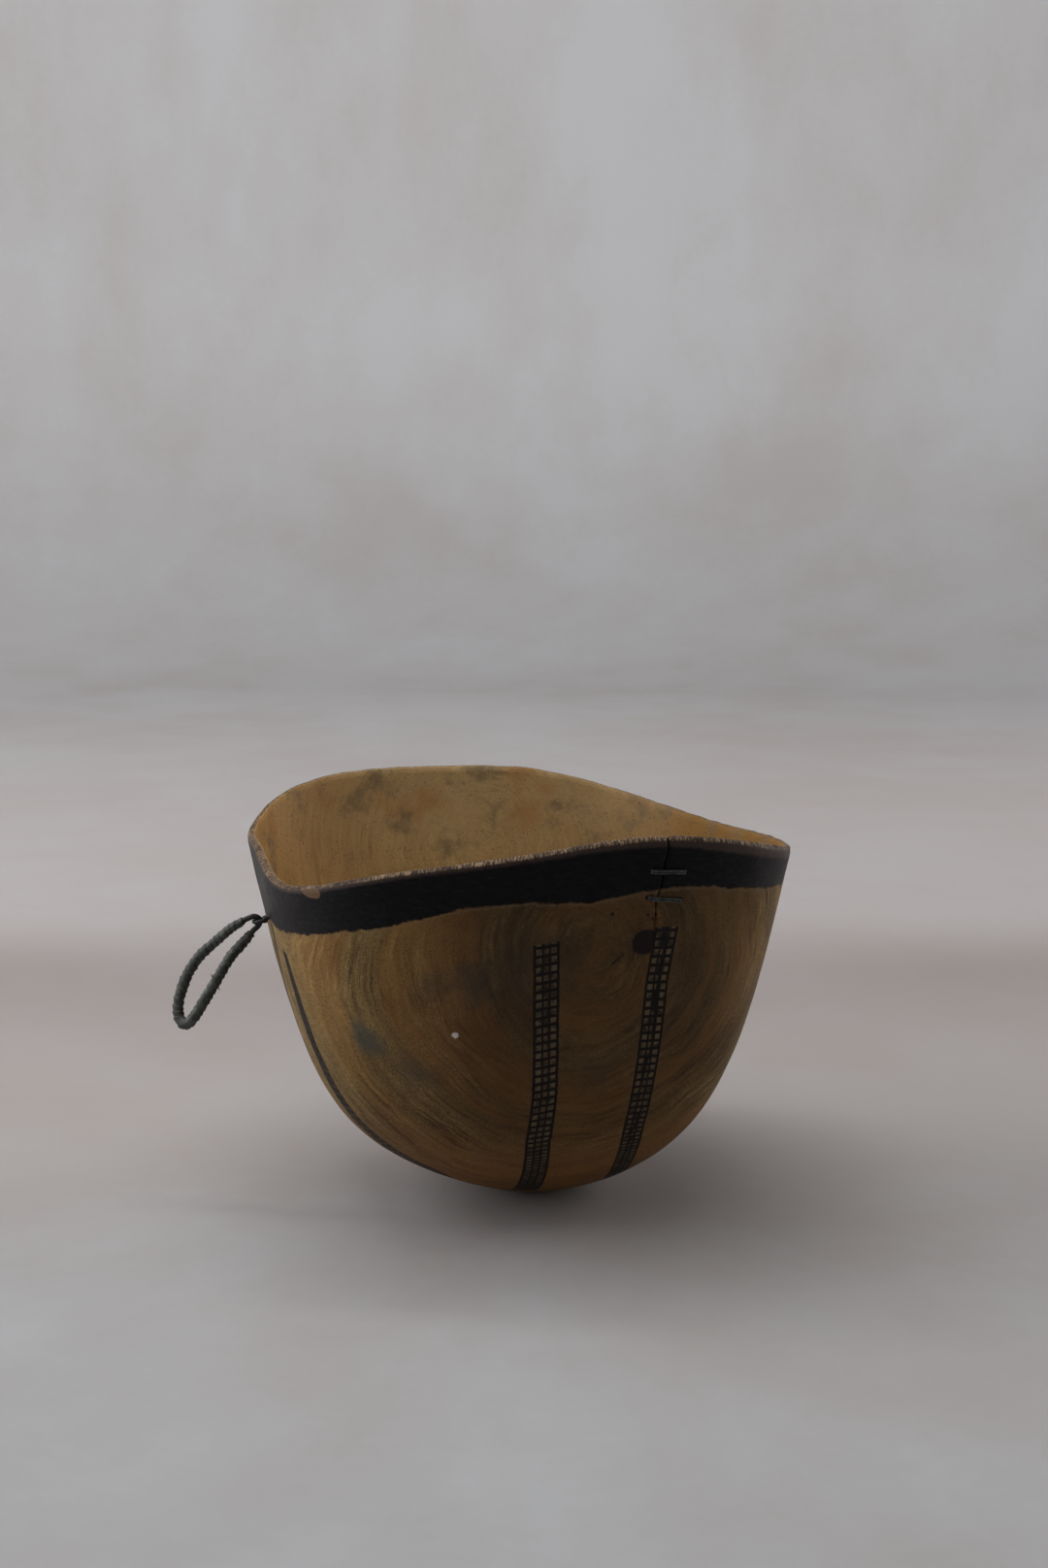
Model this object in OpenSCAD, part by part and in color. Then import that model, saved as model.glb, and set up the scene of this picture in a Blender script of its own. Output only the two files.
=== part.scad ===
// A hand-carved, round-bottomed wooden drinking bowl with a wavy rim, two wire
// stitches across a split in the rim, and a wrapped thong loop to hang it by.
// Millimetres. +Z is up, +Y runs along the grain, and the origin is the middle
// of the small worn flat that the bowl stands on. The loop is on the -X side.
// Bearings are degrees round the bowl, from +X towards +Y.

/* [Bowl] */
// Half of the rim's width, across the grain
half_width = 91; // [75:1:115]
// Half of the rim's length, along the grain
half_length = 100; // [80:1:125]
// How square the plan is: 2 is an ellipse, 4 is nearly a rectangle
squareness = 3; // [2:0.1:4]
// Height of the rim, averaged all the way round
rim_height = 131; // [105:1:160]
// Radius of the worn flat under the bowl
foot_r = 12; // [9:0.5:18]
// How far the middle of the rim stands off the middle of the foot, along X
rim_shift_x = -6.3; // [-10:0.1:10]
// How far the middle of the rim stands off the middle of the foot, along Y
rim_shift_y = 1.6; // [-10:0.1:10]

/* [Profile] */
// Angle that the wall leans outwards at the rim
wall_lean = 12.5; // [5:0.5:18]
// Slope of the underside where it leaves the flat
base_slope = 16.5; // [8:0.5:20]
// Fullness of the lower wall, as a share of the rim's mean half width
belly = 0.71; // [0.6:0.01:0.85]
// Fullness of the upper wall, as a share of the rim's mean height
shoulder = 0.54; // [0.4:0.01:0.65]

/* [Wall] */
// Thickness of the wall at the rim
rim_wall = 3; // [2.5:0.25:5]
// Thickness of the wall at half height
mid_wall = 4.5; // [3.5:0.25:7]
// Thickness of the bottom
floor_wall = 8; // [5:0.5:12]
// How far the rounded crest stands above the rim's two edges
crest = 0.6; // [0.2:0.1:1.2]

/* [Rim wave] */
// How far the rim rises at the two ends of the grain and dips at the two sides
saddle = 8.4; // [0:0.2:12]
// How far the rim tilts, rising towards one end
tilt = 2.7; // [0:0.1:6]
// How far the rim rises again in the middle of each side
ripple = 1.7; // [0:0.1:3]
// Small knife waves along the rim
waver = 1; // [0:0.1:2]

/* [Stitches] */
// Diameter of the repair wire
wire_d = 0.7; // [0.5:0.05:1]
// Distance between the two holes of a stitch
stitch_span = 11.6; // [8:0.2:16]
// Distance of the upper stitch below the rim
upper_drop = 10.5; // [7:0.5:13]
// Distance of the lower stitch below the rim
lower_drop = 19.8; // [17:0.5:26]
// Bearing of the split that the stitches close
split_bearing = 287; // [275:1:295]
// Room round the two strands in a hole
stitch_clearance = 0.08; // [0.05:0.01:0.2]

/* [Hanging loop] */
// Diameter of the thong inside the loop
thong_d = 2; // [1.6:0.1:2.6]
// Thickness of the winding on the upper strand
upper_wrap_t = 0.9; // [0.4:0.05:1.2]
// Thickness of the winding round the tip
tip_wrap_t = 1.1; // [0.5:0.05:1.3]
// Thickness of the winding on the lower strand
lower_wrap_t = 1.05; // [0.4:0.05:1.3]
// Distance of the loop's hole below the rim
tie_drop = 26.5; // [22:0.5:36]
// Bearing of the loop's hole
tie_bearing = 176; // [165:1:190]
// Diameter of the thong of the eye that holds the loop
eye_thong_d = 1.6; // [1.2:0.1:2.2]
// Room between the loop's neck and the eye
neck_clearance = 0.2; // [0.15:0.05:0.4]
// Room round the tie in its hole
tie_clearance = 0.1; // [0.05:0.05:0.3]
// Radius of the knot that stops the tie inside the bowl
knot_r = 2.6; // [2:0.1:4]

/* [Hidden] */

segments = 60;      // facets round the bowl
outer_rows = 14;    // facets up its outside
inner_rows = 13;    // and up its inside
full_bearing = 225; // the belly is fullest on this bearing
lean_bearing = 357; // and the wall leans most on this one
nudge = 0.001;      // step for slopes
mean_half = (half_width + half_length) / 2;

wire_r = wire_d / 2;
strand_gap = wire_d * 0.55;                // half the distance between two strands
hole_r = strand_gap + wire_r + stitch_clearance;
wire_lift = wire_r + 0.2;                  // the strands run just clear of the wood
hollow_lift = 0.6;                         // and further off inside, for the wall's curve
tail = 4;                                  // each clinched end

thong_r = thong_d / 2;
eye_r = eye_thong_d / 2;
neck_r = eye_r + neck_clearance + thong_r; // the loop's neck turns round the eye
eye_ring_r = thong_r + neck_clearance + eye_r;
eye_stand = eye_ring_r + eye_r + 0.3;      // the eye's middle stands off the wall
tie_r = eye_r + 0.15;
eye_bar = 2.2;                             // straight stretch of the eye that the loop turns on
sleeve_clearance = 0.05;

// Middle of the loop's thong from the eye's bar: outwards, upwards, towards -Y.
// It goes out along the upper strand, round the tip and back along the lower one.
loop_route = [
    [2.8, 1.1, 0], [5.2, -0.3, -0.4], [8.1, -2.3, -1.4], [10.7, -4.6, -2.4], [13.1, -7, -3.4],
    [15.5, -9.2, -4.2], [18, -11.5, -4.8], [20.3, -14.3, -5.1], [22.3, -17.3, -5.2],
    [24, -20.5, -5.2], [25.3, -23.9, -5], [26.4, -27.3, -4.6], [27, -30.6, -3.6],
    [26.7, -33.6, -2], [25.6, -35.2, 0.2], [23.8, -34.5, 2.4], [21.6, -31.5, 4],
    [19.4, -27.8, 4.8], [16.9, -23.7, 5.1], [14.7, -20.1, 5], [12.5, -16.7, 4.6],
    [10.4, -13.5, 3.8], [8, -10.5, 2.8], [5.4, -8.1, 1.8], [2.7, -5.5, 0.9], [0.6, -3.3, 0.2]];
loop_steps = 3;     // rings of the thong for each point of its route
neck_step = 38.75;  // the neck turns round the eye's bar from the lower strand to the upper
neck_first = 225;
neck_last = 70;
// The points of the route between which each winding lies
upper_wrap_ends = [1, 5];
tip_wrap_ends = [5 + 1 / loop_steps, 19];
lower_wrap_ends = [19 + 1 / loop_steps, 24];

// ---- the bowl's shape -------------------------------------------------------

function towards(a, bearing) = cos(a - bearing);
function mix(p, q, s) = p + (q - p) * s;
function unit(v) = v / norm(v);

// Radius of the rim's plan, and its height
function rim_r(a) = pow(pow(abs(cos(a)) / half_width, squareness)
                      + pow(abs(sin(a)) / half_length, squareness), -1 / squareness);
function rim_z(a) = rim_height
    + saddle * cos(2 * (a - 101))
    + tilt * towards(a, 267)
    + ripple * cos(4 * (a - 1))
    + waver * (0.35 * cos(3 * (a - 310)) + 1.15 * cos(6 * a) + 0.7 * cos(7 * (a + 25)));

// The four control points of the wall's curve on one bearing, as [radius, height]
function wall_control(a) =
    let (lean = wall_lean + towards(a, lean_bearing),
         slope = base_slope - 3.2 * towards(a, lean_bearing),
         low = (belly + 0.118 * towards(a, full_bearing)) * mean_half,
         high = (shoulder - 0.036 * towards(a, lean_bearing)) * rim_height)
    [[foot_r, 0],
     [foot_r + low * cos(slope), low * sin(slope)],
     [rim_r(a) - high * sin(lean), rim_z(a) - high * cos(lean)],
     [rim_r(a), rim_z(a)]];
function bezier(c, t) = pow(1 - t, 3) * c[0] + 3 * t * pow(1 - t, 2) * c[1]
                      + 3 * t * t * (1 - t) * c[2] + pow(t, 3) * c[3];

// Share of the rim's offset from the foot that a point of the wall's curve takes
function shift(t) = t * t * (3 - 2 * t);
function place(a, rz, t) = [rz[0] * cos(a) + rim_shift_x * shift(t),
                            rz[0] * sin(a) + rim_shift_y * shift(t), rz[1]];

// A point of the outside: t is 0 at the foot's edge and 1 at the rim
function outside(a, t) = place(a, bezier(wall_control(a), t), t);

// A point of the inside, one wall's thickness in from it
function wall_at(t) = t < 0.45 ? mix(floor_wall, mid_wall, t / 0.45)
                               : mix(mid_wall, rim_wall, (t - 0.45) / 0.55);
function inside(a, t) =
    let (c = wall_control(a), s = min(t, 1 - nudge),
         run = unit(bezier(c, s + nudge) - bezier(c, s)))
    place(a, bezier(c, t) + wall_at(t) * [-run[1], run[0]], t);

function ring(i) = 360 * i / segments;
function row_of(points) = len(points) / segments;

// Triangles between ring j and ring j + 1 of a stack of rings
function band_faces(j) = [for (i = [0:segments - 1])
    let (p = j * segments + i, q = j * segments + (i + 1) % segments)
    each [[p, p + segments, q], [q, p + segments, q + segments]]];

module bowl_body() {
    outer = [for (j = [0:outer_rows], i = [0:segments - 1]) outside(ring(i), j / outer_rows)];
    top = [for (i = [0:segments - 1])
        (outside(ring(i), 1) + inside(ring(i), 1)) / 2 + [0, 0, crest]];
    inner = [for (j = [0:inner_rows], i = [0:segments - 1]) inside(ring(i), 1 - j / inner_rows)];
    rings = concat(outer, top, inner);
    last = row_of(rings) - 1;
    under = len(rings);
    within = under + 1;
    lowest = inside(full_bearing, 0)[2] - 1;
    polyhedron(
        points = concat(rings, [[0, 0, 0], [0, 0, lowest]]),
        faces = concat(
            [for (j = [0:last - 1]) each band_faces(j)],
            [for (i = [0:segments - 1]) [under, i, (i + 1) % segments]],
            [for (i = [0:segments - 1])
                [within, last * segments + (i + 1) % segments, last * segments + i]]),
        convexity = 6);
}

// ---- places on the wall -----------------------------------------------------

// How far up the wall's curve a point lies that is this far below the rim
function t_below(a, drop, lo = 0, hi = 1, tries = 20) =
    let (mid = (lo + hi) / 2)
    tries == 0 ? mid
    : outside(a, mid)[2] > rim_z(a) - drop ? t_below(a, drop, lo, mid, tries - 1)
    : t_below(a, drop, mid, hi, tries - 1);
function out_of(a, t) = unit(cross(outside(a + 1, t) - outside(a - 1, t),
                                   outside(a, t + nudge) - outside(a, t - nudge)));

// Draws its children in the wall's own frame there: X level along the wall, Y up it, Z out of it
module at_wall(a, drop) {
    t = t_below(a, drop);
    p = outside(a, t);
    n = out_of(a, t);
    u = unit([-n[1], n[0], 0]);
    v = cross(n, u);
    multmatrix([[u[0], v[0], n[0], p[0]],
                [u[1], v[1], n[1], p[1]],
                [u[2], v[2], n[2], p[2]],
                [0, 0, 0, 1]]) children();
}

// ---- tubes along a route ----------------------------------------------------

function run_at(pts, i) = unit(pts[min(i + 1, len(pts) - 1)] - pts[max(i - 1, 0)]);
function circle_at(p, run, side, r, n) =
    let (e = unit(cross(run, side)), f = cross(run, e))
    [for (k = [0:n - 1]) p + r * (cos(360 * k / n) * e + sin(360 * k / n) * f)];

// A solid round tube through the points; side is a direction that the route never takes
module tube(pts, r, side, n = 8) {
    m = len(pts);
    skin = [for (i = [0:m - 1]) each circle_at(pts[i], run_at(pts, i), side, r, n)];
    polyhedron(points = skin, faces = concat(
        [for (i = [0:m - 2], k = [0:n - 1])
            let (p = i * n + k, q = i * n + (k + 1) % n) each [[p, q, p + n], [q, q + n, p + n]]],
        [[for (k = [n - 1:-1:0]) k]],
        [[for (k = [0:n - 1]) (m - 1) * n + k]]), convexity = 6);
}

// The same tube joined end to end
module closed_tube(pts, r, side, n = 10) {
    m = len(pts);
    skin = [for (i = [0:m - 1])
        each circle_at(pts[i], unit(pts[(i + 1) % m] - pts[(i + m - 1) % m]), side, r, n)];
    polyhedron(points = skin, faces = [for (i = [0:m - 1], k = [0:n - 1])
        let (j = (i + 1) % m, l = (k + 1) % n)
        each [[i * n + k, i * n + l, j * n + k], [i * n + l, j * n + l, j * n + k]]],
        convexity = 6);
}

// The tube with a round bore, for what is wound round another
module sleeve(pts, r_out, r_in, side, n = 10) {
    m = len(pts);
    outer = [for (i = [0:m - 1]) each circle_at(pts[i], run_at(pts, i), side, r_out, n)];
    inner = [for (i = [0:m - 1]) each circle_at(pts[i], run_at(pts, i), side, r_in, n)];
    w = len(outer);
    end = (m - 1) * n;
    polyhedron(points = concat(outer, inner), faces = concat(
        [for (i = [0:m - 2], k = [0:n - 1])
            let (p = i * n + k, q = i * n + (k + 1) % n)
            each [[p, q, p + n], [q, q + n, p + n],
                  [w + p, w + p + n, w + q], [w + q, w + p + n, w + q + n]]],
        [for (k = [0:n - 1])
            let (l = (k + 1) % n)
            each [[k, w + k, l], [l, w + k, w + l],
                  [end + k, end + l, w + end + k], [end + l, w + end + l, w + end + k]]]),
        convexity = 6);
}

// ---- stitches ---------------------------------------------------------------

function stitch_turn(drop) = drop < (upper_drop + lower_drop) / 2 ? -5 : -9;

// One wire: in at a clinched tail, twice over the split, and out at the other tail
function stitch_route(wall) =
    let (h = stitch_span / 2, o = wire_lift, i = -wall - wire_lift - hollow_lift, g = strand_gap, c = 0.35)
    [[-h - tail, -g, i], [-h - c, -g, i], [-h, -g, i + c], [-h, -g, o - c], [-h + c, -g, o],
     [h - c, -g, o], [h, -g, o - c], [h, -g, i + c], [h - c, -g, i],
     [-h + c, g, i], [-h, g, i + c], [-h, g, o - c], [-h + c, g, o],
     [h - c, g, o], [h, g, o - c], [h, g, i + c], [h + c, g, i], [h + tail, g, i]];

module stitch(drop) color("dimgray")
    at_wall(split_bearing, drop) rotate([0, 0, stitch_turn(drop)])
        tube(stitch_route(wall_at(t_below(split_bearing, drop))), wire_r, [0, 1, 0]);

module stitch_holes(drop)
    at_wall(split_bearing, drop) rotate([0, 0, stitch_turn(drop)])
        for (x = [-1, 1]) translate([x * stitch_span / 2, 0, 0])
            cylinder(h = 4 * mid_wall, r = hole_r, center = true, $fn = 24);

// ---- hanging loop -----------------------------------------------------------

tie_t = t_below(tie_bearing, tie_drop);
tie_wall = wall_at(tie_t);
tie_out = out_of(tie_bearing, tie_t);
pivot = outside(tie_bearing, tie_t) + (eye_stand + eye_ring_r) * tie_out;
level_out = unit([tie_out[0], tie_out[1], 0]);
swing_axis = [-level_out[1], level_out[0], 0];

function from_pivot(p) = pivot + p[0] * level_out + p[1] * [0, 0, 1] + p[2] * swing_axis;

neck_arc = [for (a = [neck_first:-neck_step:neck_last]) [neck_r * cos(a), neck_r * sin(a), 0]];
loop_points = [for (p = concat(neck_arc, loop_route)) from_pivot(p)];

// A smooth curve through the loop's points: s counts them round from the neck's first
function loop_at(s) =
    let (n = len(loop_points), i = floor(s), f = s - i,
         p = [for (k = [-1:2]) loop_points[(i + k + n) % n]])
    (2 * p[1] + f * (p[2] - p[0]) + f * f * (2 * p[0] - 5 * p[1] + 4 * p[2] - p[3])
     + f * f * f * (3 * p[1] - p[0] - 3 * p[2] + p[3])) / 2;
function stretch(ends) =
    let (first = round(loop_steps * (len(neck_arc) + ends[0])),
         last = round(loop_steps * (len(neck_arc) + ends[1])))
    [for (i = [first:last]) loop_at(i / loop_steps)];

module bowl() color("burlywood") difference() {
    bowl_body();
    stitch_holes(upper_drop);
    stitch_holes(lower_drop);
    at_wall(tie_bearing, tie_drop)
        cylinder(h = 4 * mid_wall, r = tie_r + tie_clearance, center = true, $fn = 32);
}
module stitch_upper() stitch(upper_drop);
module stitch_lower() stitch(lower_drop);

// The tie: a knot inside, a stem through the wall, and an eye outside
module loop_tie() color("black") at_wall(tie_bearing, tie_drop) {
    translate([0, 0, -tie_wall - knot_r]) sphere(r = knot_r, $fn = 32);
    translate([0, 0, -tie_wall - knot_r])
        cylinder(h = tie_wall + knot_r + eye_stand - eye_ring_r, r = tie_r, $fn = 32);
    translate([0, 0, eye_stand]) {
        rotate([90, 0, 0])
            rotate_extrude($fn = 40) translate([eye_ring_r, 0]) circle(r = eye_r, $fn = 20);
        translate([0, 0, eye_ring_r]) rotate([0, 90, 0])
            cylinder(h = eye_bar, r = eye_r, center = true, $fn = 20);
    }
}

// The thong: a closed ring, drawn out into a long loop
module loop_core() color("darkslategray")
    closed_tube([for (i = [0:loop_steps * len(loop_points) - 1]) loop_at(i / loop_steps)],
                thong_r, swing_axis);

// A strip wound round one stretch of the thong
module wrap(ends, thickness) color("gray")
    sleeve(stretch(ends), thong_r + thickness, thong_r + sleeve_clearance, swing_axis);
module wrap_upper() wrap(upper_wrap_ends, upper_wrap_t);
module wrap_tip() wrap(tip_wrap_ends, tip_wrap_t);
module wrap_lower() wrap(lower_wrap_ends, lower_wrap_t);

bowl();
stitch_upper();
stitch_lower();
loop_tie();
loop_core();
wrap_upper();
wrap_tip();
wrap_lower();
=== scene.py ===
import math

import bmesh
import bpy
from mathutils import Matrix, Vector, noise


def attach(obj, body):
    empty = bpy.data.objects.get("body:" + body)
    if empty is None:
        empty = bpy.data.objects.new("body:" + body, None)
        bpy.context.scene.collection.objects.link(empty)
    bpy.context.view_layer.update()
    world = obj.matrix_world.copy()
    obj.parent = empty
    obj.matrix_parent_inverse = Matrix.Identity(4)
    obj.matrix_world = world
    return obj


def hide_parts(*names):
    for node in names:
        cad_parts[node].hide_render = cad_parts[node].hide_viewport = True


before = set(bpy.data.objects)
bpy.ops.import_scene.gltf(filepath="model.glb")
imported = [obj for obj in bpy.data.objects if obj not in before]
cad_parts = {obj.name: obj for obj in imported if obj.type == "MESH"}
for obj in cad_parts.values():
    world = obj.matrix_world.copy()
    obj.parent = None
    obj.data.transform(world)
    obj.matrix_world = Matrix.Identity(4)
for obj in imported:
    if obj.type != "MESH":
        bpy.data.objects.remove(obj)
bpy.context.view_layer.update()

mm = 0.001


def cosd(angle):
    return math.cos(math.radians(angle))


def sind(angle):
    return math.sin(math.radians(angle))


def mix(a, b, share):
    return a + (b - a) * share


def ease(low, high, value):
    share = min(max((value - low) / (high - low), 0), 1)
    return share * share * (3 - 2 * share)


def along(table, value):
    # straight lines between the pairs of a short table
    if value <= table[0][0]:
        return table[0][1]
    for (x0, y0), (x1, y1) in zip(table, table[1:]):
        if value <= x1:
            return mix(y0, y1, (value - x0) / (x1 - x0))
    return table[-1][1]


def lump(point, size, seed=0):
    # soft noise from -1 to 1 whose bumps are about `size` across
    return noise.noise(Vector(point) / size + Vector((seed * 17.3, seed * 5.1, seed * 9.7)))


# camera

camera = {
    "place": (-0.1707, -0.7404, 0.2735),
    "turn": (80.5, 0.0, -12.86),
    "lens": 50,
    "sensorHeight": 36,
}

lens = bpy.data.cameras.new("camera")
lens.lens = camera["lens"]
lens.sensor_fit = "VERTICAL"
lens.sensor_height = camera["sensorHeight"]
lens.clip_start = 0.01
eyePoint = bpy.data.objects.new("camera", lens)
eyePoint.location = camera["place"]
eyePoint.rotation_euler = [math.radians(a) for a in camera["turn"]]
bpy.context.scene.collection.objects.link(eyePoint)
bpy.context.scene.camera = eyePoint
print("camera ready")


# shader writing

class Wire:
    # a number on its way through the nodes; arithmetic on it adds Math nodes
    def __init__(self, shader, socket):
        self.shader = shader
        self.socket = socket

    def maths(self, operation, *others):
        sockets = {0: self}
        for index, other in enumerate(others):
            sockets[index + 1] = other
        return self.shader.node("ShaderNodeMath", {"operation": operation}, sockets)

    def flipped(self, operation, other):
        return self.shader.node("ShaderNodeMath", {"operation": operation}, {0: other, 1: self})

    def __add__(self, other):
        return self.maths("ADD", other)

    def __radd__(self, other):
        return self.maths("ADD", other)

    def __sub__(self, other):
        return self.maths("SUBTRACT", other)

    def __rsub__(self, other):
        return self.flipped("SUBTRACT", other)

    def __mul__(self, other):
        return self.maths("MULTIPLY", other)

    def __rmul__(self, other):
        return self.maths("MULTIPLY", other)

    def __truediv__(self, other):
        return self.maths("DIVIDE", other)

    def __rtruediv__(self, other):
        return self.flipped("DIVIDE", other)

    def __neg__(self):
        return self.maths("MULTIPLY", -1)

    def __abs__(self):
        return self.maths("ABSOLUTE")

    def __pow__(self, other):
        return self.maths("POWER", other)

    def fraction(self):
        return self.maths("FRACT")

    def atLeast(self, other):
        return self.maths("MAXIMUM", other)

    def atMost(self, other):
        return self.maths("MINIMUM", other)


class Shader:
    # one material; its values and colours come from node(), blend() and the rest
    def __init__(self, name):
        self.material = bpy.data.materials.new(name)
        self.material.use_nodes = True
        self.tree = self.material.node_tree
        self.surface = self.tree.nodes["Principled BSDF"]

    def feed(self, socket, value):
        if isinstance(value, Wire):
            self.tree.links.new(value.socket, socket)
        elif hasattr(value, "__len__") and socket.type == "RGBA" and len(value) == 3:
            socket.default_value = (*value, 1)
        else:
            socket.default_value = value

    def node(self, kind, settings, sockets, output=0):
        made = self.tree.nodes.new(kind)
        for name, value in settings.items():
            if name == "stops":
                for index, (place, shade) in enumerate(value):
                    stops = made.color_ramp.elements
                    stop = stops[index] if index < len(stops) else stops.new(place)
                    stop.position = place
                    stop.color = (*shade, 1)
            else:
                setattr(made, name, value)
        for key, value in sockets.items():
            self.feed(made.inputs[key], value)
        return Wire(self, made.outputs[output])

    def blend(self, share, a, b, way="MIX"):
        return self.node("ShaderNodeMix", {"data_type": "RGBA", "blend_type": way},
                         {0: share, 6: a, 7: b}, 2)     # 6, 7 and 2 are its colour sockets

    def smooth(self, low, high, value):
        return self.node("ShaderNodeMapRange", {"interpolation_type": "SMOOTHSTEP"},
                         {"Value": value, "From Min": low, "From Max": high})

    def place(self):
        # the piece's own coordinates, in millimetres
        spot = self.node("ShaderNodeTexCoord", {}, {}, "Object")
        return self.node("ShaderNodeVectorMath", {"operation": "SCALE"}, {0: spot, "Scale": 1 / mm})

    def stretched(self, spot, scale):
        return self.node("ShaderNodeVectorMath", {"operation": "MULTIPLY"}, {0: spot, 1: scale})

    def distance(self, spot, centre):
        return self.node("ShaderNodeVectorMath", {"operation": "DISTANCE"}, {0: spot, 1: centre}, "Value")

    def noise(self, spot, size, detail=2.0, roughness=0.5, distortion=0.0):
        return self.node("ShaderNodeTexNoise", {"noise_dimensions": "3D"},
                         {"Vector": spot, "Scale": 1 / size, "Detail": detail,
                          "Roughness": roughness, "Distortion": distortion})

    def attribute(self, name):
        return self.node("ShaderNodeAttribute", {"attribute_name": name}, {}, "Fac")

    def finish(self, colour, roughness, height=None, depth=0.0002, **fixed):
        self.feed(self.surface.inputs["Base Color"], colour)
        self.feed(self.surface.inputs["Roughness"], roughness)
        if height is not None:
            bump = self.node("ShaderNodeBump", {}, {"Strength": 1.0, "Distance": depth, "Height": height})
            self.feed(self.surface.inputs["Normal"], bump)
        for name, value in fixed.items():
            self.surface.inputs[name.replace("_", " ")].default_value = value
        return self.material


def finishPiece(name, bm, body, material, node):
    # turns the bmesh into a piece at the origin that rides on a body and stands for a CAD node
    for face in bm.faces:
        face.smooth = True
    mesh = bpy.data.meshes.new(name)
    bm.to_mesh(mesh)
    bm.free()
    mesh.materials.append(material)
    piece = bpy.data.objects.new(name, mesh)
    bpy.context.scene.collection.objects.link(piece)
    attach(piece, body)
    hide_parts(node)
    print("made", name, len(mesh.polygons), "faces")
    return piece


# the bowl's shape

bowl = {
    "halfWidth": 91, "halfLength": 100, "squareness": 3,
    "rimHeight": 131, "footRadius": 12, "shift": (-6.3, 1.6),
    "lean": 12.5, "slope": 16.5, "belly": 0.71, "shoulder": 0.54,
    "fullBearing": 225, "leanBearing": 357,
    "rimWall": 3, "midWall": 4.5, "floorWall": 8, "crest": 0.6,
    "saddle": 8.4, "tilt": 2.7, "ripple": 1.7,
    "columns": 400, "outerRows": 112, "rimRows": 10, "innerRows": 84,
    "splitBearing": 286.3,
}


def rimRadius(a):
    n = bowl["squareness"]
    return (abs(cosd(a) / bowl["halfWidth"]) ** n + abs(sind(a) / bowl["halfLength"]) ** n) ** (-1 / n)


def rimLevel(a):
    return (bowl["rimHeight"] + bowl["saddle"] * cosd(2 * (a - 101)) + bowl["tilt"] * cosd(a - 267)
            + bowl["ripple"] * cosd(4 * (a - 1)) + 0.35 * cosd(3 * (a - 310))
            + 1.15 * cosd(6 * a) + 0.7 * cosd(7 * (a + 25)))


def wallControls(a):
    # the four control points of the wall's curve on one bearing, as (radius, height)
    meanHalf = (bowl["halfWidth"] + bowl["halfLength"]) / 2
    turned = cosd(a - bowl["leanBearing"])
    lean = bowl["lean"] + turned
    slope = bowl["slope"] - 3.2 * turned
    low = (bowl["belly"] + 0.118 * cosd(a - bowl["fullBearing"])) * meanHalf
    high = (bowl["shoulder"] - 0.036 * turned) * bowl["rimHeight"]
    foot, radius, level = bowl["footRadius"], rimRadius(a), rimLevel(a)
    return (Vector((foot, 0)), Vector((foot + low * cosd(slope), low * sind(slope))),
            Vector((radius - high * sind(lean), level - high * cosd(lean))), Vector((radius, level)))


def curvePoint(controls, t):
    p, q, r, s = controls
    return (1 - t) ** 3 * p + 3 * t * (1 - t) ** 2 * q + 3 * t * t * (1 - t) * r + t ** 3 * s


def curveRun(controls, t):
    p, q, r, s = controls
    run = (1 - t) ** 2 * (q - p) + 2 * t * (1 - t) * (r - q) + t * t * (s - r)
    return run.normalized()


def wallThickness(t):
    if t < 0.45:
        return mix(bowl["floorWall"], bowl["midWall"], t / 0.45)
    return mix(bowl["midWall"], bowl["rimWall"], (t - 0.45) / 0.55)


def wallPlace(a, flat, t):
    shifted = t * t * (3 - 2 * t)
    return Vector((flat[0] * cosd(a) + bowl["shift"][0] * shifted,
                   flat[0] * sind(a) + bowl["shift"][1] * shifted, flat[1]))


def outside(a, t):
    return wallPlace(a, curvePoint(wallControls(a), t), t)


def levelBelow(a, drop):
    low, high = 0.0, 1.0
    for _ in range(24):
        middle = (low + high) / 2
        if outside(a, middle)[2] > rimLevel(a) - drop:
            high = middle
        else:
            low = middle
    return low


def wallFrame(a, drop):
    # the wall's own frame there: X level along it, Y up it, Z out of it, in millimetres
    t = levelBelow(a, drop)
    sideways = outside(a + 1, t) - outside(a - 1, t)
    upwards = outside(a, t + 0.001) - outside(a, t - 0.001)
    out = sideways.cross(upwards).normalized()
    level = Vector((-out.y, out.x, 0)).normalized()
    up = out.cross(level)
    turn = Matrix((level, up, out)).transposed().to_4x4()
    return Matrix.Translation(outside(a, t)) @ turn, t


# marks on the bowl, all in millimetres and degrees

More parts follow.
